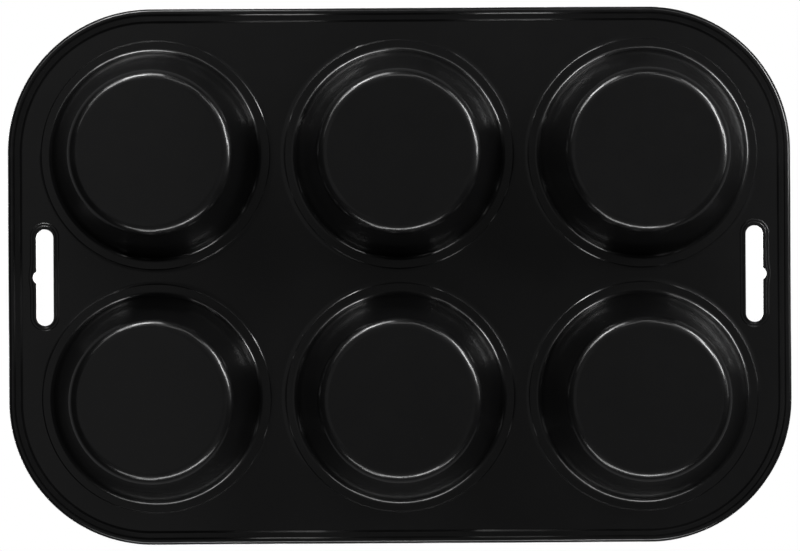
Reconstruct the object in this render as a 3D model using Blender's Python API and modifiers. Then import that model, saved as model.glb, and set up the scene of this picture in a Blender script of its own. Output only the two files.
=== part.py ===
"""Six-cup muffin pan, right way up, standing on the bottoms of its cups.

The real pan is one drawn steel sheet whose edge is rolled over a wire. Here the sheet is
divided along its own bends into a flat deck, six turned cups and the rolled rim, with a
hairline between neighbours, so that each is a simple closed solid. The wire is a piece of
its own inside the curl.

Frame: +X along the length, +Y towards the back, +Z up. The origin is under the middle of
the pan, level with the undersides of the cups.
"""

import math

import bpy

MM = 0.001

# Overall
LENGTH = 265.0 * MM
WIDTH = 181.4 * MM
CORNER_R = 48.5 * MM
SHEET = 0.5 * MM
DECK_TOP = 30.1 * MM
GAP = 0.3 * MM

# Cups: two rows of three
PITCH_X = 82.4 * MM
PITCH_Y = 82.3 * MM
STEP_R = 39.1 * MM  # small step round each cup
STEP_DROP = 0.5 * MM  # the ledge lies this far below the deck
MOUTH_R = 34.9 * MM  # where ledge and wall would meet if the bend were sharp
FLOOR_R = 26.6 * MM  # where wall and floor would meet if the bend were sharp
MOUTH_FILLET = 1.3 * MM  # on the underside
FLOOR_FILLET = 2.4 * MM  # on the underside
CUP_SEGMENTS = 32

# Rolled rim, measured inwards from the outer edge of the pan
RIM_RISE = 0.9 * MM  # the rim stands this far above the deck
RIM_BEND = 5.1 * MM  # where the deck turns up to the rim, in a slope that ends on the curl
CURL_R = 1.2 * MM
CURL_ANGLES = (90, 45, 0, -45, -90, -135)  # degrees, 0 is outwards and 90 is up
CURL_FLANK = 1.05 * MM  # the curl ends in a straight flank this long
RIM_INNER = 5.6 * MM  # inner edge of the rim piece
CORNER_SEGMENTS = 8
WIRE_R = 0.4 * MM

# Hanging slots, one at each end of the pan
SLOT_X = 120.1 * MM
SLOT_LENGTH = 32.6 * MM
SLOT_WIDTH = 5.8 * MM
NOTCH_R = 2.2 * MM
NOTCH_REACH = 1.2 * MM
SLOT_END_SEGMENTS = 8

RIM_TOP = DECK_TOP + RIM_RISE
DECK_UNDER = DECK_TOP - SHEET
LEDGE_UNDER = DECK_UNDER - STEP_DROP

COATING = ((0.012, 0.012, 0.013, 1.0), 0.32, 0.0)
STEEL = ((0.52, 0.52, 0.53, 1.0), 0.35, 1.0)


def new_collection(name, hidden=False):
    collection = bpy.data.collections.new(name)
    bpy.context.scene.collection.children.link(collection)
    collection.hide_render = hidden
    return collection


def make_material(name, look):
    colour, roughness, metallic = look
    material = bpy.data.materials.new(name)
    material.use_nodes = True
    shader = material.node_tree.nodes["Principled BSDF"]
    shader.inputs["Base Color"].default_value = colour
    shader.inputs["Roughness"].default_value = roughness
    shader.inputs["Metallic"].default_value = metallic
    material.diffuse_color = colour
    return material


def fillet(corner, before, after, radius, steps):
    """Points of an arc of this radius that rounds the corner between two other points."""
    ax, az = before[0] - corner[0], before[1] - corner[1]
    bx, bz = after[0] - corner[0], after[1] - corner[1]
    la, lb = math.hypot(ax, az), math.hypot(bx, bz)
    ax, az, bx, bz = ax / la, az / la, bx / lb, bz / lb
    half = math.acos(max(-1.0, min(1.0, ax * bx + az * bz))) / 2
    reach = radius / math.tan(half)
    mx, mz = ax + bx, az + bz
    lm = math.hypot(mx, mz)
    centre = (
        corner[0] + mx / lm * radius / math.sin(half),
        corner[1] + mz / lm * radius / math.sin(half),
    )
    start = math.atan2(
        corner[1] + az * reach - centre[1], corner[0] + ax * reach - centre[0]
    )
    end = math.atan2(
        corner[1] + bz * reach - centre[1], corner[0] + bx * reach - centre[0]
    )
    turn = (end - start + math.pi) % (2 * math.pi) - math.pi
    return [
        (
            centre[0] + radius * math.cos(start + turn * i / steps),
            centre[1] + radius * math.sin(start + turn * i / steps),
        )
        for i in range(steps + 1)
    ]


def cup_section():
    """The cup's section from the middle of its floor, up the inside, over and down the outside."""
    rise = LEDGE_UNDER
    run = MOUTH_R - FLOOR_R
    slant = math.hypot(rise, run)
    # the inside is the outside moved by the sheet's thickness at right angles to each face
    shift = SHEET * (slant - run) / rise
    outside = [
        (STEP_R, DECK_TOP),
        (STEP_R, LEDGE_UNDER),
        (MOUTH_R, LEDGE_UNDER),
        (FLOOR_R, 0.0),
        (0.0, 0.0),
    ]
    inside = [
        (STEP_R - SHEET, DECK_TOP),
        (STEP_R - SHEET, LEDGE_UNDER + SHEET),
        (MOUTH_R - shift, LEDGE_UNDER + SHEET),
        (FLOOR_R - shift, SHEET),
        (0.0, SHEET),
    ]
    down = outside[:2]
    down += fillet(outside[2], outside[1], outside[3], MOUTH_FILLET, 2)
    down += fillet(outside[3], outside[2], outside[4], FLOOR_FILLET, 2)
    down += outside[4:]
    up = [inside[4]]
    up += fillet(inside[3], inside[4], inside[2], FLOOR_FILLET - SHEET, 2)
    up += fillet(inside[2], inside[3], inside[1], MOUTH_FILLET + SHEET, 2)
    up += [inside[1], inside[0]]
    return up + down


def make_cup_mesh():
    mesh = bpy.data.meshes.new("cup")
    section = cup_section()
    mesh.from_pydata(
        [(x, 0.0, z) for x, z in section],
        [(i, i + 1) for i in range(len(section) - 1)],
        [],
    )
    return mesh


def add_cup(name, x, y, mesh, collection):
    cup = bpy.data.objects.new(name, mesh)
    collection.objects.link(cup)
    cup.location = (x, y, 0.0)
    turn = cup.modifiers.new("turn", "SCREW")
    turn.angle = 2 * math.pi
    turn.steps = turn.render_steps = CUP_SEGMENTS
    turn.use_merge_vertices = True
    turn.merge_threshold = 0.00001
    turn.use_smooth_shade = True
    cup.material_slots[0].link = "OBJECT"
    cup.material_slots[0].material = make_material(name, COATING)
    return cup


def rounded_rectangle(inset):
    """Points round the pan's outline, moved inwards by inset."""
    radius = CORNER_R - inset
    cx, cy = LENGTH / 2 - CORNER_R, WIDTH / 2 - CORNER_R
    points = []
    for quarter, (sx, sy) in enumerate(((1, 1), (-1, 1), (-1, -1), (1, -1))):
        for i in range(CORNER_SEGMENTS + 1):
            angle = math.pi / 2 * (quarter + i / CORNER_SEGMENTS)
            points.append(
                (
                    sx * cx + radius * math.cos(angle),
                    sy * cy + radius * math.sin(angle),
                )
            )
    return points


def circle(x, y, radius, segments):
    return [
        (
            x + radius * math.cos(2 * math.pi * i / segments),
            y + radius * math.sin(2 * math.pi * i / segments),
        )
        for i in range(segments)
    ]


def slot(side):
    """A round-ended slot along Y with a shallow round notch halfway along its outer edge."""
    half = SLOT_WIDTH / 2
    straight = SLOT_LENGTH / 2 - half
    points = []
    for i in range(SLOT_END_SEGMENTS + 1):
        angle = math.pi * i / SLOT_END_SEGMENTS
        points.append((half * math.cos(angle), straight + half * math.sin(angle)))
    for i in range(SLOT_END_SEGMENTS + 1):
        angle = math.pi + math.pi * i / SLOT_END_SEGMENTS
        points.append((half * math.cos(angle), -straight + half * math.sin(angle)))
    centre = half + NOTCH_REACH - NOTCH_R
    opening = math.acos((half - centre) / NOTCH_R)
    for i in range(7):
        angle = -opening + 2 * opening * i / 6
        points.append((centre + NOTCH_R * math.cos(angle), NOTCH_R * math.sin(angle)))
    return [(side * (SLOT_X + x), y) for x, y in points]


def add_spline(curve, points):
    spline = curve.splines.new("POLY")
    spline.points.add(len(points) - 1)
    for point, (x, y) in zip(spline.points, points):
        point.co = (x, y, 0.0, 1.0)
    spline.use_cyclic_u = True


def add_deck(collection):
    curve = bpy.data.curves.new("deck_plate", "CURVE")
    curve.dimensions = "2D"
    curve.fill_mode = "BOTH"
    curve.extrude = SHEET / 2
    add_spline(curve, rounded_rectangle(RIM_INNER + GAP))
    for x, y in CUP_PLACES.values():
        add_spline(curve, circle(x, y, STEP_R + GAP, CUP_SEGMENTS))
    add_spline(curve, slot(1))
    add_spline(curve, slot(-1))
    deck = bpy.data.objects.new("deck_plate", curve)
    collection.objects.link(deck)
    deck.location = (0.0, 0.0, DECK_TOP - SHEET / 2)
    curve.materials.append(make_material("deck_plate", COATING))
    return deck


def rim_section():
    """Section of the rim piece: inwards from the middle of the curl, and up from it."""

    def inwards(inset):
        return inset - CURL_R

    middle = RIM_TOP - CURL_R
    bend_x, bend_z = inwards(RIM_BEND), DECK_TOP - middle
    # where the straight slope from the bend touches the curl
    touch = (
        math.pi
        - math.atan2(bend_z, bend_x)
        - math.acos(CURL_R / math.hypot(bend_x, bend_z))
    )
    shift = SHEET * math.tan((touch - math.pi / 2) / 2)
    angles = [touch] + [math.radians(a) for a in CURL_ANGLES]

    def curl(radius):
        points = [(-radius * math.cos(a), radius * math.sin(a)) for a in angles]
        x, z = points[-1]
        points.append(
            (
                x - CURL_FLANK * math.sin(angles[-1]),
                z - CURL_FLANK * math.cos(angles[-1]),
            )
        )
        return points

    points = [(inwards(RIM_INNER), bend_z), (bend_x, bend_z)]
    points += curl(CURL_R)
    points += curl(CURL_R - SHEET)[::-1]
    points += [
        (bend_x - shift, DECK_UNDER - middle),
        (inwards(RIM_INNER), DECK_UNDER - middle),
    ]
    return points[::-1]


def add_path(name, collection, material, dimensions, fill):
    """A closed curve round the pan, along the middle of the curl."""
    curve = bpy.data.curves.new(name, "CURVE")
    curve.dimensions = dimensions
    curve.fill_mode = fill
    add_spline(curve, rounded_rectangle(CURL_R))
    obj = bpy.data.objects.new(name, curve)
    collection.objects.link(obj)
    obj.location = (0.0, 0.0, RIM_TOP - CURL_R)
    curve.materials.append(material)
    return obj


def add_rim(collection, guides):
    section = bpy.data.curves.new("rim_section", "CURVE")
    section.dimensions = "2D"
    section.fill_mode = "NONE"
    add_spline(section, rim_section())
    guide = bpy.data.objects.new("rim_section", section)
    guides.objects.link(guide)
    guide.hide_render = True
    guide.display_type = "WIRE"
    material = make_material("rolled_rim", COATING)
    rim = add_path("rolled_rim", collection, material, "2D", "NONE")
    rim.data.bevel_mode = "OBJECT"
    rim.data.bevel_object = guide
    return rim


def add_wire(collection):
    material = make_material("rim_wire", STEEL)
    wire = add_path("rim_wire", collection, material, "3D", "FULL")
    wire.data.bevel_depth = WIRE_R
    wire.data.bevel_resolution = 2
    return wire


CUP_PLACES = {
    "cup_back_left": (-PITCH_X, PITCH_Y / 2),
    "cup_back_middle": (0.0, PITCH_Y / 2),
    "cup_back_right": (PITCH_X, PITCH_Y / 2),
    "cup_front_left": (-PITCH_X, -PITCH_Y / 2),
    "cup_front_middle": (0.0, -PITCH_Y / 2),
    "cup_front_right": (PITCH_X, -PITCH_Y / 2),
}


def main():
    for obj in list(bpy.data.objects):
        bpy.data.objects.remove(obj, do_unlink=True)
    pan = new_collection("muffin_pan")
    guides = new_collection("guides", hidden=True)
    add_deck(pan)
    mesh = make_cup_mesh()
    mesh.materials.append(None)
    for name, (x, y) in CUP_PLACES.items():
        add_cup(name, x, y, mesh, pan)
    add_rim(pan, guides)
    add_wire(pan)


main()
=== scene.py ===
import math

import bpy
import numpy as np
from mathutils import Matrix, Vector
from mathutils.geometry import delaunay_2d_cdt


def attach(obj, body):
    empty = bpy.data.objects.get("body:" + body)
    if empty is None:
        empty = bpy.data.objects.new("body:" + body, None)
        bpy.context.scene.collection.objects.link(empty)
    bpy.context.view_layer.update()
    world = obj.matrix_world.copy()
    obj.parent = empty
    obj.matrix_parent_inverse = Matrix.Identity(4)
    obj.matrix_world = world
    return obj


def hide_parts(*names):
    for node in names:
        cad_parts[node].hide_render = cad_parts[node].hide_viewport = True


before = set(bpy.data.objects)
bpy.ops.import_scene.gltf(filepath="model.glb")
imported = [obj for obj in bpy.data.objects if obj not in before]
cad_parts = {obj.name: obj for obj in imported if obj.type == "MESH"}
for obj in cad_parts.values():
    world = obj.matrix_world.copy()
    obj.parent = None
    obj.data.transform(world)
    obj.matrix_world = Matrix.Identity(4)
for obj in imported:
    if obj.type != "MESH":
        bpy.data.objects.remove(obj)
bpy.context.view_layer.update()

MM = 0.001

# ------------------------------------------------------------------ dimensions, as in the CAD
LENGTH, WIDTH, CORNER_R = 265.0, 181.4, 48.5  # millimetres, here and below
SHEET = 0.5
DECK_TOP = 30.1
DECK_UNDER = DECK_TOP - SHEET
PITCH_X, PITCH_Y = 82.4, 82.3
STEP_END, STEP_DROP = 40.35, 0.45  # where the step runs out into the deck, and its height
LEDGE_UNDER = DECK_UNDER - STEP_DROP
MOUTH_R, FLOOR_R = 34.9, 26.6
RIM_RISE, RIM_BEND, CURL_R = 0.9, 5.1, 1.3
CURL_TILT, CURL_BEND = 37.0, 1.3  # the curl closes against the sheet, and runs out along it
SHELF_TILT, SHELF_END = 11.0, 3.95
RISE_TILT, RISE_BEND = 30.0, 0.7
RIM_TOP = DECK_TOP + RIM_RISE
SLOT_X, SLOT_LENGTH, SLOT_WIDTH = 120.1, 32.6, 5.8
NOTCH_R, NOTCH_REACH, NOTCH_BLEND = 2.2, 1.2, 0.5

# where one piece of the sheet passes into the next, on the flat of the deck
CUP_SEAM = 40.45
RIM_SEAM = 5.9
SLOT_SEAM = 2.6

CUPS = {
    "cup_back_left": (-PITCH_X, PITCH_Y / 2),
    "cup_back_middle": (0.0, PITCH_Y / 2),
    "cup_back_right": (PITCH_X, PITCH_Y / 2),
    "cup_front_left": (-PITCH_X, -PITCH_Y / 2),
    "cup_front_middle": (0.0, -PITCH_Y / 2),
    "cup_front_right": (PITCH_X, -PITCH_Y / 2),
}
# On the side of a cup that faces away from the middle of the pan the step is one narrow steep facet,
# without the wide run-out: the middle of that side, how far to either side it holds and where it has
# faded, in degrees from the back of the pan, clockwise as seen from below.
STEEP_SIDES = {
    "cup_back_right": (330, 45, 62),
    "cup_back_middle": (3, 14, 30),
    "cup_back_left": (50, 50, 68),
    "cup_front_left": (158, 60, 90),
    "cup_front_middle": (180, 45, 80),
    "cup_front_right": (200, 60, 90),
}


# ------------------------------------------------------------------ sections
def bends(corners, arc=5.0, longest=6.0):
    """Points along a path through corners (x, z, radius), rounded at each, as rows of x, z and the
    normal to the right of the way along it, with its bend (1 / radius, plus where it turns left)."""
    rows = []

    def put(x, z, tx, tz, bend=0.0):
        if rows and abs(rows[-1][0] - x) < 1e-7 and abs(rows[-1][1] - z) < 1e-7:
            return
        rows.append((x, z, tz, -tx, bend))

    at = corners[0][:2]
    for i in range(1, len(corners)):
        cx, cz, r = corners[i]
        dx, dz = cx - at[0], cz - at[1]
        ln = math.hypot(dx, dz)
        tx, tz = dx / ln, dz / ln
        last = i == len(corners) - 1
        if not last and r > 0:
            nx, nz = corners[i + 1][0] - cx, corners[i + 1][1] - cz
            nl = math.hypot(nx, nz)
            nx, nz = nx / nl, nz / nl
            turn = math.atan2(tx * nz - tz * nx, tx * nx + tz * nz)
            reach = r * math.tan(abs(turn) / 2)
        else:
            turn = reach = 0.0
        straight = ln - reach
        steps = max(1, math.ceil(straight / longest - 1e-9))
        for k in range(steps + 1):
            put(at[0] + tx * straight * k / steps, at[1] + tz * straight * k / steps, tx, tz)
        if turn:
            side = 1.0 if turn > 0 else -1.0
            ox = cx - tx * reach - tz * r * side
            oz = cz - tz * reach + tx * r * side
            n = max(2, math.ceil(math.degrees(abs(turn)) / arc))
            a0 = math.atan2(tz, tx)
            for k in range(n + 1):
                a = a0 + turn * k / n
                put(
                    ox + math.sin(a) * r * side,
                    oz - math.cos(a) * r * side,
                    math.cos(a),
                    math.sin(a),
                    side / r,
                )
            at = (cx + nx * reach, cz + nz * reach)
        else:
            at = (cx, cz)
    return np.array(rows)


def cup_section():
    """Underside of a cup from the middle of its floor out to the seam, then the upper side back,
    and for the rows of the underside whether they are in the step, with its height and slope there
    where it is steep."""
    rise, run = LEDGE_UNDER, MOUTH_R - FLOOR_R
    slant = math.hypot(rise, run)
    shift = SHEET * (slant - run) / rise
    tilt = 0.1  # the ledge dips a little towards the cup
    # from the ledge a narrow facet goes up sharply, then the sheet runs out wide into the deck
    sharp, easy = math.radians(34.5), math.radians(18)
    tight, ease, wide = 0.07, 0.08, 5.0
    second = wide * math.tan(easy / 2) + ease * math.tan((sharp - easy) / 2) + 0.003
    first = (STEP_DROP - second * math.sin(easy)) / math.sin(sharp)
    knee = STEP_END - wide * math.tan(easy / 2)
    elbow = knee - second * math.cos(easy)
    foot = elbow - first * math.cos(sharp)
    lean = SHEET * math.tan(easy / 2)
    low = bends(
        [
            (0.0, 0.0, 0),
            (FLOOR_R + 0.2, 0.0, 4.2),
            (MOUTH_R, LEDGE_UNDER - tilt, 2.2),
            (foot, LEDGE_UNDER, tight),
            (elbow, DECK_UNDER - second * math.sin(easy), ease),
            (knee, DECK_UNDER, wide),
            (CUP_SEAM, DECK_UNDER, 0),
        ],
        arc=3.0,
    )
    high = bends(
        [
            (CUP_SEAM, DECK_TOP, 0),
            (knee - lean, DECK_TOP, wide - 0.5),
            (knee - lean - STEP_DROP / math.tan(easy), LEDGE_UNDER + SHEET, 0.8),
            (MOUTH_R - shift, LEDGE_UNDER + SHEET - tilt, 2.9),
            (FLOOR_R + 0.2 - shift, SHEET, 3.7),
            (0.0, SHEET, 0),
        ],
        arc=4.0,
    )
    # the steep step: up at 45 degrees, with a small bend at either end
    small = 0.02
    reach, half = small * math.tan(math.pi / 8), math.sin(math.pi / 4)
    begin, end = foot - reach, foot + STEP_DROP + reach
    for k in range(4):
        for at in (begin + small * half * k / 3, end - small * half * k / 3):
            i = int(np.searchsorted(low[:, 0], at))
            f = (at - low[i - 1, 0]) / (low[i, 0] - low[i - 1, 0])
            low = np.insert(low, i, low[i - 1] * (1 - f) + low[i] * f, axis=0)
    x = low[:, 0]

    def bend_up(d):
        t = np.arcsin(np.clip(d / small, 0, half))
        return small * (1 - np.cos(t)) + np.maximum(d - small * half, 0), np.tan(t)

    first_half = x < (begin + end) / 2
    up, up_slope = bend_up(x - begin)
    down, down_slope = bend_up(end - x)
    steep_z = np.where(first_half, LEDGE_UNDER + up, DECK_UNDER - down)
    steep = np.stack([x > foot - 0.03, steep_z, np.where(first_half, up_slope, down_slope)], -1)
    return low, high, steep


def rim_section():
    """Section of the rim, x being the distance inwards from the pan's edge: underside of the deck,
    down to the narrow shelf where the curl closes against the sheet, round the curl and in over
    the top. Rows of x, z and bend."""
    mx, mz = CURL_R, RIM_TOP - CURL_R
    px, pz = RIM_BEND - mx, DECK_TOP - mz
    touch = math.pi - math.atan2(pz, px) - math.acos(CURL_R / math.hypot(px, pz))
    tilt, shelf, rise = (math.radians(t) for t in (CURL_TILT, SHELF_TILT, RISE_TILT))
    end = -math.pi / 2 - tilt
    keep = (0, 1, 4)

    def on_curl(a):
        return mx - CURL_R * math.cos(a), mz + CURL_R * math.sin(a)

    x, z = on_curl(end)
    reach = CURL_BEND * math.tan((tilt - shelf) / 2) + 0.01
    kx, kz = x + reach * math.cos(tilt), z + reach * math.sin(tilt)
    sz = kz + (SHELF_END - kx) * math.tan(shelf)
    path = [
        (RIM_SEAM, DECK_UNDER, 0),
        (SHELF_END + (DECK_UNDER - sz) / math.tan(rise), DECK_UNDER, RISE_BEND),
        (SHELF_END, sz, RISE_BEND),
        (kx, kz, CURL_BEND),
        (x, z, 0),
    ]
    rows = list((bends(path, arc=2.0, longest=0.4) * (1, 1, 1, 1, -1))[:, keep])
    for k in range(1, 57):
        rows.append((*on_curl(end + (touch - end) * k / 56), 0.45))
    x, z = on_curl(touch)
    path = [(x, z, 0), (RIM_BEND, DECK_TOP, 5.0), (RIM_SEAM, DECK_TOP, 0)]
    rows += list((bends(path, arc=1.5, longest=0.5) * (1, 1, 1, 1, -1))[1:, keep])
    return np.array(rows)


# ------------------------------------------------------------------ loops round the plan
def pan_outline(corner=44, long_side=60, short_side=32):
    """Points of the pan's outline and their outward directions, counterclockwise from above."""
    cx, cy = LENGTH / 2 - CORNER_R, WIDTH / 2 - CORNER_R
    base, out = [], []
    for quarter, (sx, sy) in enumerate(((1, 1), (-1, 1), (-1, -1), (1, -1))):
        for i in range(corner + 1):
            a = math.pi / 2 * (quarter + i / corner)
            d = (math.cos(a), math.sin(a))
            base.append((sx * cx + CORNER_R * d[0], sy * cy + CORNER_R * d[1]))
            out.append(d)
        a = math.pi / 2 * (quarter + 1)
        d = (math.cos(a), math.sin(a))
        nx, ny = ((-1, 1), (-1, -1), (1, -1), (1, 1))[quarter]
        start = np.array(base[-1])
        end = np.array((nx * cx + CORNER_R * d[0], ny * cy + CORNER_R * d[1]))
        n = long_side if quarter % 2 == 0 else short_side
        for i in range(1, n):
            base.append(tuple(start + (end - start) * i / n))
            out.append(d)
    return np.array(base), np.array(out)


def stadium(side, corner=36, straight=26):
    """A slot's outline without its notch, and outward directions, counterclockwise."""
    half, st = SLOT_WIDTH / 2, SLOT_LENGTH / 2 - SLOT_WIDTH / 2
    base, out = [], []
    for end in (1, -1):
        for i in range(corner + 1):
            a = math.pi * i / corner + (0 if end > 0 else math.pi)
            base.append((half * math.cos(a), end * st + half * math.sin(a)))
            out.append((math.cos(a), math.sin(a)))
        for i in range(1, straight):
            base.append((-end * half, end * (st - 2 * st * i / straight)))
            out.append((-end, 0.0))
    base, out = np.array(base), np.array(out)
    return base + (side * SLOT_X, 0.0), out


def notched(side, corner=30):
    """A slot's true outline with the notch in its outer edge, and outward directions."""
    half, st = SLOT_WIDTH / 2, SLOT_LENGTH / 2 - SLOT_WIDTH / 2
    base, out = [], []

    def arc(cx, cy, r, a0, a1, n, sign=1.0):
        for i in range(n + 1):
            a = a0 + (a1 - a0) * i / n
            p = (cx + r * math.cos(a), cy + r * math.sin(a))
            if base and math.dist(base[-1], p) < 1e-6:
                continue
            base.append(p)
            out.append((sign * math.cos(a), sign * math.sin(a)))

    arc(0, st, half, 0, math.pi, corner)
    for i in range(1, 14):
        base.append((-half, st - 2 * st * i / 14))
        out.append((-1.0, 0.0))
    arc(0, -st, half, math.pi, 2 * math.pi, corner)
    uc = half + NOTCH_REACH - NOTCH_R
    vb = math.sqrt((NOTCH_R + NOTCH_BLEND) ** 2 - (half + NOTCH_BLEND - uc) ** 2)
    a = math.atan2(vb, half + NOTCH_BLEND - uc)
    for i in range(1, 6):
        base.append((half, -st + (st - vb) * i / 6))
        out.append((1.0, 0.0))
    arc(half + NOTCH_BLEND, -vb, NOTCH_BLEND, math.pi, math.pi - a, 8, -1.0)
    arc(uc, 0, NOTCH_R, -a, a, 18)
    arc(half + NOTCH_BLEND, vb, NOTCH_BLEND, math.pi + a, math.pi, 8, -1.0)
    for i in range(1, 6):
        base.append((half, vb + (st - vb) * i / 6))
        out.append((1.0, 0.0))
    base, out = np.array(base), np.array(out)
    if side < 0:
        base, out = base * (-1, 1), out * (-1, 1)
        base, out = base[::-1], out[::-1]
    return base + (side * SLOT_X, 0.0), out


# ------------------------------------------------------------------ mesh building
class Skin:
    """Vertices, faces and a normal and a wear value for each face corner, in millimetres."""

    def __init__(self):
        self.points, self.faces, self.normals = [], [], []
        self.edge = []  # how strongly each vertex lies on a rounded outer edge, 0 to 1
        self.count = 0

    def add_points(self, points, edge=None):
        points = np.asarray(points, float).reshape(-1, 3)
        self.points.append(points)
        self.edge.append(
            np.zeros(len(points)) if edge is None else np.asarray(edge, float).reshape(-1)
        )
        start = self.count
        self.count += len(points)
        return start

    def add_faces(self, faces, normals):
        self.faces.append(np.asarray(faces, int))
        self.normals.append(np.asarray(normals, float))

    def grid(self, index, normals, close_u=False, close_v=False):
        """Quads over a grid of vertex numbers, u down and v across, facing u x v."""
        iu = index if not close_u else np.vstack([index, index[:1]])
        nu = normals if not close_u else np.vstack([normals, normals[:1]])
        if close_v:
            iu = np.hstack([iu, iu[:, :1]])
            nu = np.hstack([nu, nu[:, :1]])
        a, b, c, d = iu[:-1, :-1], iu[1:, :-1], iu[1:, 1:], iu[:-1, 1:]
        na, nb, nc, nd = nu[:-1, :-1], nu[1:, :-1], nu[1:, 1:], nu[:-1, 1:]
        f = np.stack([a, b, c, d], -1).reshape(-1, 4)
        n = np.stack([na, nb, nc, nd], -2).reshape(-1, 4, 3)
        self.add_faces(f, n)

    def build(self, name):
        points = np.vstack(self.points) * MM
        mesh = bpy.data.meshes.new(name)
        sizes = np.concatenate([np.full(len(f), f.shape[1]) for f in self.faces])
        loops = np.concatenate([f.reshape(-1) for f in self.faces])
        normals = np.vstack([n.reshape(-1, 3) for n in self.normals])
        mesh.vertices.add(len(points))
        mesh.vertices.foreach_set("co", points.astype(np.float32).reshape(-1))
        mesh.loops.add(len(loops))
        mesh.loops.foreach_set("vertex_index", loops.astype(np.int32))
        mesh.polygons.add(len(sizes))
        starts = np.concatenate([[0], np.cumsum(sizes)[:-1]])
        mesh.polygons.foreach_set("loop_start", starts.astype(np.int32))
        mesh.update(calc_edges=True)
        assert not mesh.validate(verbose=True), name
        mesh.polygons.foreach_set("use_smooth", np.ones(len(sizes), bool))
        edge = mesh.attributes.new("edge", "FLOAT", "POINT")
        edge.data.foreach_set("value", np.concatenate(self.edge).astype(np.float32))
        mesh.normals_split_custom_set(normals.astype(np.float32))
        obj = bpy.data.objects.new(name, mesh)
        bpy.context.scene.collection.objects.link(obj)
        return obj


def edge_of(bend):
    """How worn a point of a section gets: it stands out where the surface turns away from it."""
    return np.clip(bend / 0.9, 0, 1)


def grid_normals(points):
    """Normals of a grid of points that is open down the columns and closed along the rows, facing
    along x down, so that rows going outwards and columns anticlockwise face down."""
    gap = np.linalg.norm(np.diff(points, axis=0), axis=2)[..., None]
    d = np.diff(points, axis=0) / gap
    down = np.empty_like(points)
    down[0], down[-1] = d[0], d[-1]
    down[1:-1] = d[:-1] * gap[1:] + d[1:] * gap[:-1]
    across = np.roll(points, -1, 1) - np.roll(points, 1, 1)
    n = np.cross(across, down)
    return n / np.linalg.norm(n, axis=2)[..., None]


# ------------------------------------------------------------------ cups
def make_cup(name, x, y, side, around=176):
    low, high, steep = cup_section()
    skin = Skin()
    a = 2 * math.pi * np.arange(around) / around
    middle, holds, faded = side
    off = np.abs((np.degrees(a) - 90 - middle + 180) % 360 - 180)
    share = np.clip((faded - off) / (faded - holds), 0, 1)
    share = share * share * (3 - 2 * share)
    ca, sa = np.cos(a), np.sin(a)
    rows = np.vstack([low[1:], high[:-1]])  # without the two points on the axis
    n = len(rows)
    r, z, nr, nz = rows[:, 0], rows[:, 1], rows[:, 2], rows[:, 3]
    points = np.stack(
        [x + r[:, None] * ca, y + r[:, None] * sa, np.repeat(z[:, None], around, 1)], -1
    )
    normals = np.stack(
        [nr[:, None] * ca, nr[:, None] * sa, np.repeat(nz[:, None], around, 1)], -1
    )
    for i in np.flatnonzero(steep[1:, 0]):
        points[i, :, 2] += share * (steep[i + 1, 1] - z[i])
        slope = (1 - share) * -nr[i] / nz[i] + share * steep[i + 1, 2]
        flat = 1 / np.sqrt(1 + slope * slope)
        normals[i] = np.stack([slope * flat * ca, slope * flat * sa, -flat], -1)
    start = skin.add_points(points, np.repeat(edge_of(rows[:, 4])[:, None], around, 1))
    index = start + np.arange(n * around).reshape(n, around)
    m = len(low) - 1  # the rows of the underside
    # The section runs outwards on the underside, so v x u faces out: give it as u across.
    for part in (slice(0, m), slice(m, n)):
        skin.grid(index[part].T, np.transpose(normals[part], (1, 0, 2)), close_u=True)
    wall = np.stack([np.stack([ca, sa, 0 * a], -1)] * 2, 0)
    skin.grid(index[m - 1 : m + 1].T, np.transpose(wall, (1, 0, 2)), close_u=True)
    for ring, z0, sign in ((index[0], low[0, 1], -1), (index[-1], high[-1, 1], 1)):
        c = skin.add_points([(x, y, z0)])
        nxt = np.roll(ring, -1)
        f = np.stack([np.full(around, c), nxt, ring] if sign < 0 else [np.full(around, c), ring, nxt], -1)
        skin.add_faces(f, np.tile((0.0, 0.0, sign), (around, 3, 1)))
    return skin.build(name)


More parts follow.
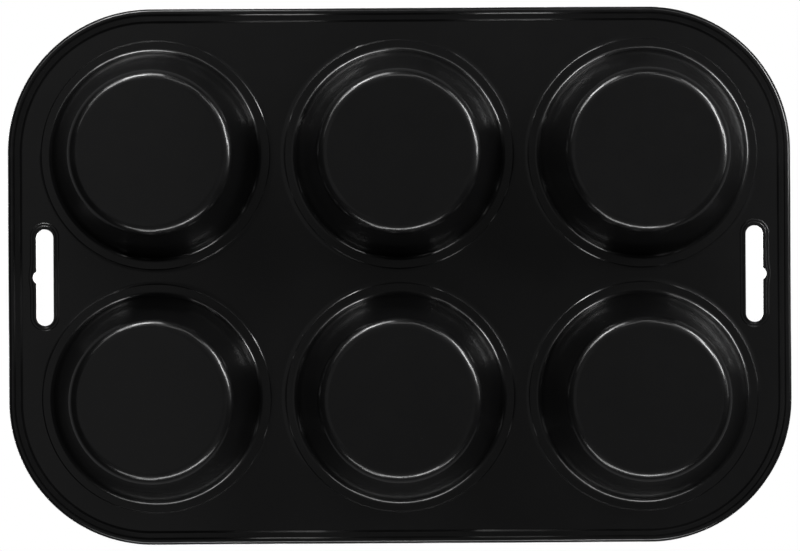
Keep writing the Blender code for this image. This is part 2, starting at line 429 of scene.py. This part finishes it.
# ------------------------------------------------------------------ rim
def make_rim(name, base, out):
    section = rim_section()
    n, around = len(section), len(base)
    skin = Skin()
    # a rolled edge wanders by a few hundredths of a millimetre along its way
    step = np.linalg.norm(np.roll(base, -1, 0) - base, axis=1)
    s = np.concatenate([[0], np.cumsum(step)[:-1]]) / step.sum() * 2 * math.pi
    wander = sum(
        w * np.sin(k * s + p)
        for k, p, w in ((7, 0.3, 0.016), (13, 2.1, 0.014), (29, 4.0, 0.009), (47, 1.2, 0.006))
    )
    # nor does the curl run out against the sheet at quite the same distance all round
    ragged = 0.12 * np.sin(s + 1.2) + 0.05 * np.sin(3 * s + 0.4) + 0.02 * np.sin(9 * s + 1.9)

    def sweep(x, z):
        x, z = x[:, None], z[:, None]
        free = np.clip((RIM_BEND - 1.4 - x) / 1.2, 0, 1)
        shelf = np.clip((x - 2.6) / 0.8, 0, 1) * np.clip((RIM_SEAM - 0.3 - x) / 0.8, 0, 1)
        shelf = shelf * np.clip((DECK_UNDER + 0.1 - z) / 0.1, 0, 1)
        inset = x + free * (0.05 + wander) + shelf * ragged
        z = z - free * 0.02 + free * 0.012 * np.roll(wander, 37) / 0.045
        p = base[None, :, :] - inset[..., None] * out[None, :, :]
        return np.concatenate([p, z[..., None]], -1)

    points = sweep(section[:, 0], section[:, 1])
    normals = grid_normals(points)
    normals[0] = (0, 0, -1)
    normals[-1] = (0, 0, 1)
    start = skin.add_points(points, np.repeat(edge_of(section[:, 2])[:, None], around, 1))
    index = start + np.arange(n * around).reshape(n, around)
    skin.grid(index.T, np.transpose(normals, (1, 0, 2)), close_u=True)
    inner = np.stack([np.concatenate([-out, np.zeros((around, 1))], 1)] * 2, 1)
    skin.grid(np.stack([index[-1], index[0]], 1), inner, close_u=True)
    # the hollow of the curl, which holds the wire
    a = -2 * math.pi * np.arange(20) / 20
    r = CURL_R - SHEET
    points = sweep(CURL_R - r * np.cos(a), RIM_TOP - CURL_R + r * np.sin(a))
    start = skin.add_points(points)
    index = start + np.arange(20 * around).reshape(20, around)
    away = np.cos(a)[:, None, None] * np.concatenate([out, np.zeros((around, 1))], 1)[None]
    away = away + np.sin(a)[:, None, None] * np.array((0.0, 0.0, 1.0))
    skin.grid(index.T, np.transpose(-away, (1, 0, 2)), close_u=True, close_v=True)
    return skin.build(name)


# ------------------------------------------------------------------ deck
def inside(points, loop):
    x, y = points[:, 0], points[:, 1]
    hit = np.zeros(len(points), bool)
    j = len(loop) - 1
    for i in range(len(loop)):
        xi, yi, xj, yj = *loop[i], *loop[j]
        cross = (yi > y) != (yj > y)
        with np.errstate(divide="ignore", invalid="ignore"):
            hit ^= cross & (x < (xj - xi) * (y - yi) / (yj - yi) + xi)
        j = i
    return hit


def fill_plane(outer, holes, grid=None):
    """Triangles over the plan between an outer loop and holes: (extra points, faces). Faces number
    the loops' points in order, then the extra ones, and run counterclockwise."""
    loops = [outer, *holes]
    points = np.vstack(loops)
    edges, k = [], 0
    for loop in loops:
        n = len(loop)
        edges += [(k + i, k + (i + 1) % n) for i in range(n)]
        k += n
    extra = np.zeros((0, 2))
    if grid:
        lo, hi = outer.min(0), outer.max(0)
        gx, gy = np.arange(lo[0], hi[0], grid), np.arange(lo[1], hi[1], grid * 0.866)
        g = np.array([(x + (j % 2) * grid / 2, y) for j, y in enumerate(gy) for x in gx])
        g = g[inside(g, outer)]
        for h in holes:
            g = g[~inside(g, h)]
        near = np.array([np.min(np.hypot(*(points - q).T)) for q in g])
        extra = g[near > grid * 0.55]
    everything = np.vstack([points, extra])
    got = delaunay_2d_cdt([Vector(p) for p in everything], edges, [], 0, 1e-7, True)
    back = [o[0] for o in got[3]]
    assert len(got[0]) == len(everything) and sorted(back) == list(range(len(everything)))
    faces = np.array([[back[v] for v in f] for f in got[2] if len(f) == 3])
    mid = everything[faces].mean(1)
    keep = inside(mid, outer)
    for h in holes:
        keep &= ~inside(mid, h)
    faces = faces[keep]
    a, b, c = (everything[faces[:, i]] for i in range(3))
    turn = (b[:, 0] - a[:, 0]) * (c[:, 1] - a[:, 1]) - (b[:, 1] - a[:, 1]) * (c[:, 0] - a[:, 0])
    faces[turn < 0] = faces[turn < 0][:, ::-1]
    return extra, faces


def make_deck(name, base, out):
    skin = Skin()
    rim = base - RIM_SEAM * out
    a = 2 * math.pi * np.arange(176) / 176
    ring = np.stack([np.cos(a), np.sin(a)], -1)
    cups = [np.array(c) + CUP_SEAM * ring for c in CUPS.values()]
    # the recess round each slot sits a little off the punched slot, as the photograph shows, and
    # swells where the notch is
    step, slope = 0.17, math.tan(math.radians(34))
    drop = 2 * step
    slots = []
    for side in (-1, 1):
        sb, so = stadium(side)
        outer = (so[:, 0] * side > 0.99) & (np.abs(sb[:, 1]) < 5)
        swell = np.where(outer, 0.5 * np.cos(math.pi * sb[:, 1] / 10) ** 2, 0)
        sb = sb + swell[:, None] * so + (side * 0.1, 0.26)
        nb, no = notched(side)
        slots.append((sb, so, nb, no))
    holes = cups + [sb + SLOT_SEAM * so for sb, so, _, _ in slots]
    extra, faces = fill_plane(rim, holes, grid=6.0)
    plan = np.vstack([rim, *holes, extra])
    n = len(plan)
    low = skin.add_points(np.column_stack([plan, np.full(n, DECK_UNDER)]))
    high = skin.add_points(np.column_stack([plan, np.full(n, DECK_TOP)]))
    skin.add_faces(high + faces, np.tile((0.0, 0.0, 1.0), (len(faces), 3, 1)))
    skin.add_faces(low + faces[:, ::-1], np.tile((0.0, 0.0, -1.0), (len(faces), 3, 1)))
    # seam walls, against the rim and the cups
    k = 0
    for loop, sign in [(rim, 1)] + [(c, -1) for c in cups]:
        m = len(loop)
        i = k + np.arange(m)
        d = out if sign > 0 else -ring
        nn = np.stack([np.column_stack([d, np.zeros(m)])] * 2, 0)
        pair = np.stack([high + i, low + i]) if sign > 0 else np.stack([low + i, high + i])
        skin.grid(pair, nn, close_v=True)
        k += m
    # each slot: the sheet is pressed down round it in two small steps, with a narrow flat border
    # and a cut edge
    near, far, flat = 0.98, 1.9, 0.74
    half = step / slope / 2
    lean = SHEET * math.tan(math.radians(16))
    top = bends(
        [
            (SLOT_SEAM, DECK_TOP, 0),
            (far + half + lean, DECK_TOP, 0.3),
            (far - half + lean, DECK_TOP - step, 0.3),
            (near + half + lean, DECK_TOP - step, 0.3),
            (near - half + lean, DECK_TOP - drop, 0.3),
            (flat, DECK_TOP - drop, 0),
        ],
        arc=6.0,
    )
    under = bends(
        [
            (SLOT_SEAM, DECK_UNDER, 0),
            (far + half, DECK_UNDER, 0.2),
            (far - half, DECK_UNDER - step, 0.2),
            (near + half, DECK_UNDER - step, 0.2),
            (near - half, DECK_UNDER - drop, 0.2),
            (flat, DECK_UNDER - drop, 0),
        ],
        arc=6.0,
    ) * (1, 1, -1, -1, -1)
    for sb, so, nb, no in slots:
        m = len(sb)
        inner_loops = []
        for section, level, way in ((top, high, -1), (under, low, 1)):
            rows = section[1:]
            p = sb[None] + rows[:, 0][:, None, None] * so[None]
            z = np.repeat(rows[:, 1][:, None], m, 1)
            start = skin.add_points(
                np.concatenate([p, z[..., None]], -1),
                np.repeat(edge_of(rows[:, 4])[:, None], m, 1),
            )
            index = np.vstack(
                [level + k + np.arange(m), start + np.arange(len(rows) * m).reshape(-1, m)]
            )
            normals = np.concatenate(
                [
                    section[:, 2][:, None, None] * so[None],
                    np.repeat(section[:, 3][:, None], m, 1)[..., None],
                ],
                -1,
            )
            skin.grid(index[::way], normals[::way], close_v=True)
            inner_loops.append(index[-1])
        k += m
        # the flat border between the foot of the recess and the cut edge
        edge_r = 0.09
        q = len(nb)
        ring_out = sb + flat * so
        ring_in = nb + edge_r * no
        _, f = fill_plane(ring_out, [ring_in])
        zs = (DECK_TOP - drop, DECK_UNDER - drop)
        rows = []
        for i in range(7):
            b = math.pi / 2 * i / 6
            rows.append((edge_r * (1 - math.sin(b)), zs[0] - edge_r * (1 - math.cos(b)), -math.sin(b), math.cos(b)))
        for i in range(7):
            b = math.pi / 2 * i / 6
            rows.append((edge_r * (1 - math.cos(b)), zs[1] + edge_r * (1 - math.sin(b)), -math.cos(b), -math.sin(b)))
        rows = np.array(rows)
        p = nb[None] + rows[:, 0][:, None, None] * no[None]
        start = skin.add_points(
            np.concatenate([p, np.repeat(rows[:, 1][:, None], q, 1)[..., None]], -1),
            np.full(len(rows) * q, 1.0),
        )
        index = start + np.arange(len(rows) * q).reshape(-1, q)
        normals = np.concatenate(
            [rows[:, 2][:, None, None] * no[None], np.repeat(rows[:, 3][:, None], q, 1)[..., None]], -1
        )
        skin.grid(index[::-1], normals[::-1], close_v=True)
        for loop_out, loop_in, sign in (
            (inner_loops[0], index[0], 1),
            (inner_loops[1], index[-1], -1),
        ):
            number = np.concatenate([loop_out, loop_in])
            ff = number[f] if sign > 0 else number[f[:, ::-1]]
            skin.add_faces(ff, np.tile((0.0, 0.0, float(sign)), (len(f), 3, 1)))
    return skin.build(name)


# ------------------------------------------------------------------ materials
def nodes_of(material):
    material.use_nodes = True
    tree = material.node_tree
    tree.nodes.clear()
    out = tree.nodes.new("ShaderNodeOutputMaterial")
    shader = tree.nodes.new("ShaderNodeBsdfPrincipled")
    tree.links.new(shader.outputs[0], out.inputs[0])
    return tree, shader


def coating(name):
    """Black satin non-stick coating: fine orange peel, slow changes of sheen, a thin bright line of
    wear on outer edges, and a few specks of dust."""
    material = bpy.data.materials.new(name)
    tree, shader = nodes_of(material)
    new, link = tree.nodes.new, tree.links.new
    place = new("ShaderNodeTexCoord").outputs["Object"]

    def noise(scale, detail=2.0, rough=0.5):
        n = new("ShaderNodeTexNoise")
        n.inputs["Scale"].default_value = scale
        n.inputs["Detail"].default_value = detail
        n.inputs["Roughness"].default_value = rough
        link(place, n.inputs["Vector"])
        return n.outputs[0]

    def remap(socket, a, b, c, d):
        n = new("ShaderNodeMapRange")
        link(socket, n.inputs["Value"])
        for key, value in zip(("From Min", "From Max", "To Min", "To Max"), (a, b, c, d)):
            n.inputs[key].default_value = value
        return n.outputs[0]

    def maths(kind, a, b):
        n = new("ShaderNodeMath")
        n.operation = kind
        for socket, value in zip(n.inputs, (a, b)):
            if isinstance(value, (int, float)):
                socket.default_value = value
            else:
                link(value, socket)
        return n.outputs[0]

    slow = noise(22.0, 3.0)
    cloud = noise(160.0, 3.0, 0.6)
    grain = noise(2600.0, 2.0, 0.6)
    peel = noise(1250.0, 1.5)

    specks = new("ShaderNodeTexVoronoi")
    specks.feature = "F1"
    specks.voronoi_dimensions = "2D"
    specks.inputs["Scale"].default_value = 150.0
    link(place, specks.inputs["Vector"])
    dot = remap(specks.outputs["Distance"], 0.008, 0.022, 1.0, 0.0)
    pick = remap(specks.outputs["Color"], 0.93, 0.95, 0.0, 1.0)
    dust = maths("MULTIPLY", dot, pick)

    edge = new("ShaderNodeAttribute")
    edge.attribute_name = "edge"
    worn = maths("MULTIPLY", edge.outputs["Fac"], remap(cloud, 0.45, 0.75, 0.0, 1.0))

    shade = maths("ADD", remap(slow, 0.3, 0.7, 0.0030, 0.0037), remap(grain, 0.3, 0.7, -0.0003, 0.0004))
    shade = maths("ADD", shade, maths("MULTIPLY", worn, 0.006))
    shade = maths("ADD", shade, maths("MULTIPLY", dust, 0.1))
    colour = new("ShaderNodeCombineColor")
    link(shade, colour.inputs[0])
    link(shade, colour.inputs[1])
    link(maths("MULTIPLY", shade, 1.04), colour.inputs[2])
    link(colour.outputs[0], shader.inputs["Base Color"])

    rough = maths("ADD", remap(slow, 0.3, 0.7, 0.33, 0.36), remap(cloud, 0.3, 0.7, -0.015, 0.02))
    rough = maths("ADD", rough, maths("MULTIPLY", worn, -0.05))
    rough = maths("ADD", rough, maths("MULTIPLY", dust, 0.3))
    link(rough, shader.inputs["Roughness"])
    shader.inputs["Specular IOR Level"].default_value = 0.16
    # the top of the coating has flowed smooth over the rougher body of it
    shader.inputs["Coat Weight"].default_value = 0.36
    shader.inputs["Coat IOR"].default_value = 1.8
    shader.inputs["Coat Roughness"].default_value = 0.14

    bump = new("ShaderNodeBump")
    bump.inputs["Strength"].default_value = 0.35
    bump.inputs["Distance"].default_value = 0.00003
    link(maths("ADD", peel, maths("MULTIPLY", grain, 0.35)), bump.inputs["Height"])
    link(bump.outputs[0], shader.inputs["Normal"])
    link(bump.outputs[0], shader.inputs["Coat Normal"])
    return material


def steel(name):
    """Drawn wire: bright, with fine bumps and patches of dull scale."""
    material = bpy.data.materials.new(name)
    tree, shader = nodes_of(material)
    new, link = tree.nodes.new, tree.links.new
    place = new("ShaderNodeTexCoord").outputs["Object"]
    n = new("ShaderNodeTexNoise")
    n.inputs["Scale"].default_value = 900.0
    n.inputs["Detail"].default_value = 4.0
    link(place, n.inputs["Vector"])
    ramp = new("ShaderNodeValToRGB")
    ramp.color_ramp.elements[0].color = (0.30, 0.29, 0.28, 1)
    ramp.color_ramp.elements[1].color = (0.58, 0.58, 0.58, 1)
    link(n.outputs[0], ramp.inputs[0])
    link(ramp.outputs[0], shader.inputs["Base Color"])
    shader.inputs["Metallic"].default_value = 1.0
    r = new("ShaderNodeMapRange")
    link(n.outputs[0], r.inputs["Value"])
    r.inputs["To Min"].default_value = 0.28
    r.inputs["To Max"].default_value = 0.5
    link(r.outputs[0], shader.inputs["Roughness"])
    bump = new("ShaderNodeBump")
    bump.inputs["Strength"].default_value = 0.2
    bump.inputs["Distance"].default_value = 0.00003
    link(n.outputs[0], bump.inputs["Height"])
    link(bump.outputs[0], shader.inputs["Normal"])
    return material


# ------------------------------------------------------------------ the pan
black = coating("nonstick_coating")
base, out = pan_outline()
pieces = {
    "deck_sheet": (make_deck("deck_sheet", base, out), "deck_plate"),
    "rolled_edge": (make_rim("rolled_edge", base, out), "rolled_rim"),
}
for node, (x, y) in CUPS.items():
    name = node.replace("cup_", "drawn_cup_")
    pieces[name] = (make_cup(name, x, y, STEEP_SIDES[node]), node)
for piece, node in pieces.values():
    piece.data.materials.append(black)
    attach(piece, "root")
    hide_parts(node)

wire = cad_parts["rim_wire"]
wire_material = steel("drawn_wire")
if not wire.material_slots:
    wire.data.materials.append(wire_material)
for s in wire.material_slots:
    s.material = wire_material


# ------------------------------------------------------------------ studio
def floor():
    mesh = bpy.data.meshes.new("studio_floor")
    s = 20.0
    mesh.from_pydata([(-s, -s, 0), (s, -s, 0), (s, s, 0), (-s, s, 0)], [], [(0, 1, 2, 3)])
    obj = bpy.data.objects.new("studio_floor", mesh)
    obj.location.z = -0.0005
    bpy.context.scene.collection.objects.link(obj)
    material = bpy.data.materials.new("studio_floor")
    tree, shader = nodes_of(material)
    shader.inputs["Base Color"].default_value = (0.82, 0.82, 0.82, 1)
    shader.inputs["Roughness"].default_value = 0.9
    shader.inputs["Specular IOR Level"].default_value = 0.1
    mesh.materials.append(material)
    # it is only looked at: light from below reaches the underside of the pan through it
    obj.visible_diffuse = obj.visible_glossy = False
    obj.visible_transmission = obj.visible_shadow = False
    return obj


def softbox(name, azimuth, polar, distance, width, height, power, below=True, tint=(1, 1, 1)):
    """A soft rectangular light. Seen in the main picture, azimuth is clockwise from its top;
    polar is the angle from the line towards the camera."""
    a, p = math.radians(azimuth), math.radians(polar)
    side = -1.0 if below else 1.0
    # the main picture has world -X to its right and +Y up
    d = Vector((-math.sin(p) * math.sin(a), math.sin(p) * math.cos(a), side * math.cos(p)))
    light = bpy.data.lights.new(name, "AREA")
    light.shape = "RECTANGLE"
    light.size, light.size_y = width, height
    light.energy = power
    light.color = tint
    obj = bpy.data.objects.new(name, light)
    centre = Vector((0, 0, 0.02))
    obj.location = centre + d * distance
    obj.rotation_mode = "QUATERNION"
    obj.rotation_quaternion = d.to_track_quat("Z", "Y")
    obj.visible_camera = False
    bpy.context.scene.collection.objects.link(obj)
    return obj


floor()
# three banks of soft panels close by, upper left, right and below in the picture: for each angle
# from the line to the camera, the directions round the picture and their powers
BANKS = {
    50: ((0, 0.04), (30, 0.05), (300, 0.022)),
    58: (
        (15, 0.041), (42, 0.026), (66, 0.504), (162, 0.253), (174, 0.155), (186, 0.181),
        (198, 0.04), (210, 0.093), (312, 0.064), (324, 0.208),
    ),
    66: (
        (42, 0.078), (54, 0.388), (78, 0.344), (150, 0.096), (198, 0.136),
        (324, 0.086), (336, 0.536), (348, 0.136),
    ),
    74: ((90, 0.031), (348, 0.153)),
}
for polar, row in BANKS.items():
    for azimuth, power in row:
        softbox("panel_%d_%d" % (polar, azimuth), azimuth, polar, 0.45, 0.095, 0.06, power)
softbox("fill", 0, 0, 0.6, 0.9, 0.9, 0.153 * 4 / math.pi)
softbox("fill_left", 270, 25, 0.6, 0.35, 0.35, 0.03)
# from above: one soft light over the pan, and an even light that carries the floor to the horizon.
# It comes from so near the zenith that no wall or bend of the underside can face it.
softbox("over", 0, 8, 1.4, 0.9, 0.9, 6.0, below=False)
day = bpy.data.lights.new("overhead", "SUN")
day.energy = 2.3
day.angle = math.radians(28)
day_object = bpy.data.objects.new("overhead", day)
day_object.location.z = 2.0
bpy.context.scene.collection.objects.link(day_object)

# the backdrop: seen directly it goes from the floor's tone at the horizon to white overhead, and in
# the pan it is mirrored as a dim room with a slightly brighter band above the horizon
world = bpy.data.worlds.new("studio")
bpy.context.scene.world = world
world.use_nodes = True
tree = world.node_tree
tree.nodes.clear()


def by_height(stops):
    """A background whose brightness goes by the height of the direction, -1 to 1."""
    ramp = tree.nodes.new("ShaderNodeValToRGB")
    ramp.color_ramp.interpolation = "EASE"
    for i, (z, v) in enumerate(stops):
        at = (z + 1) / 2
        e = ramp.color_ramp.elements[i] if i < 2 else ramp.color_ramp.elements.new(at)
        e.position = at
        e.color = (v, v, v * 1.01 if v < 0.5 else v, 1)
    tree.links.new(level.outputs[0], ramp.inputs[0])
    shade = tree.nodes.new("ShaderNodeBackground")
    tree.links.new(ramp.outputs[0], shade.inputs[0])
    return shade


where = tree.nodes.new("ShaderNodeTexCoord")
split = tree.nodes.new("ShaderNodeSeparateXYZ")
level = tree.nodes.new("ShaderNodeMapRange")
level.inputs["From Min"].default_value = -1.0
tree.links.new(where.outputs["Generated"], split.inputs[0])
tree.links.new(split.outputs[2], level.inputs[0])
seen = by_height(((-0.02, 0.68), (0.4, 1.0)))
lit = by_height(((0.0, 0.0175), (0.15, 0.2), (0.7, 0.2), (0.95, 0.0175)))
w_out = tree.nodes.new("ShaderNodeOutputWorld")
mix = tree.nodes.new("ShaderNodeMixShader")
path = tree.nodes.new("ShaderNodeLightPath")
tree.links.new(path.outputs["Is Camera Ray"], mix.inputs[0])
tree.links.new(lit.outputs[0], mix.inputs[1])
tree.links.new(seen.outputs[0], mix.inputs[2])
tree.links.new(mix.outputs[0], w_out.inputs[0])

# ------------------------------------------------------------------ camera, below, looking up
DISTANCE = 1.189
camera = bpy.data.objects.new("camera", bpy.data.cameras.new("camera"))
bpy.context.scene.collection.objects.link(camera)
bpy.context.scene.camera = camera
place = Vector((-0.00012, 0.00003, DECK_UNDER * MM - DISTANCE))
roll = math.radians(0.34)
right = Vector((-math.cos(roll), -math.sin(roll), 0))
rise = Vector((-math.sin(roll), math.cos(roll), 0))
look = Vector((0, 0, 1))
camera.matrix_world = Matrix(
    (
        (right.x, rise.x, -look.x, place.x),
        (right.y, rise.y, -look.y, place.y),
        (right.z, rise.z, -look.z, place.z),
        (0, 0, 0, 1),
    )
)
camera.data.sensor_width = 36.0
camera.data.lens = 158.0
# past the floor and before the cups' bottoms, so that the picture looks up through the floor
camera.data.clip_start = DISTANCE - DECK_UNDER * MM - 0.00025
camera.data.clip_end = 50.0
bpy.context.scene.view_settings.view_transform = "Standard"

bpy.context.view_layer.update()
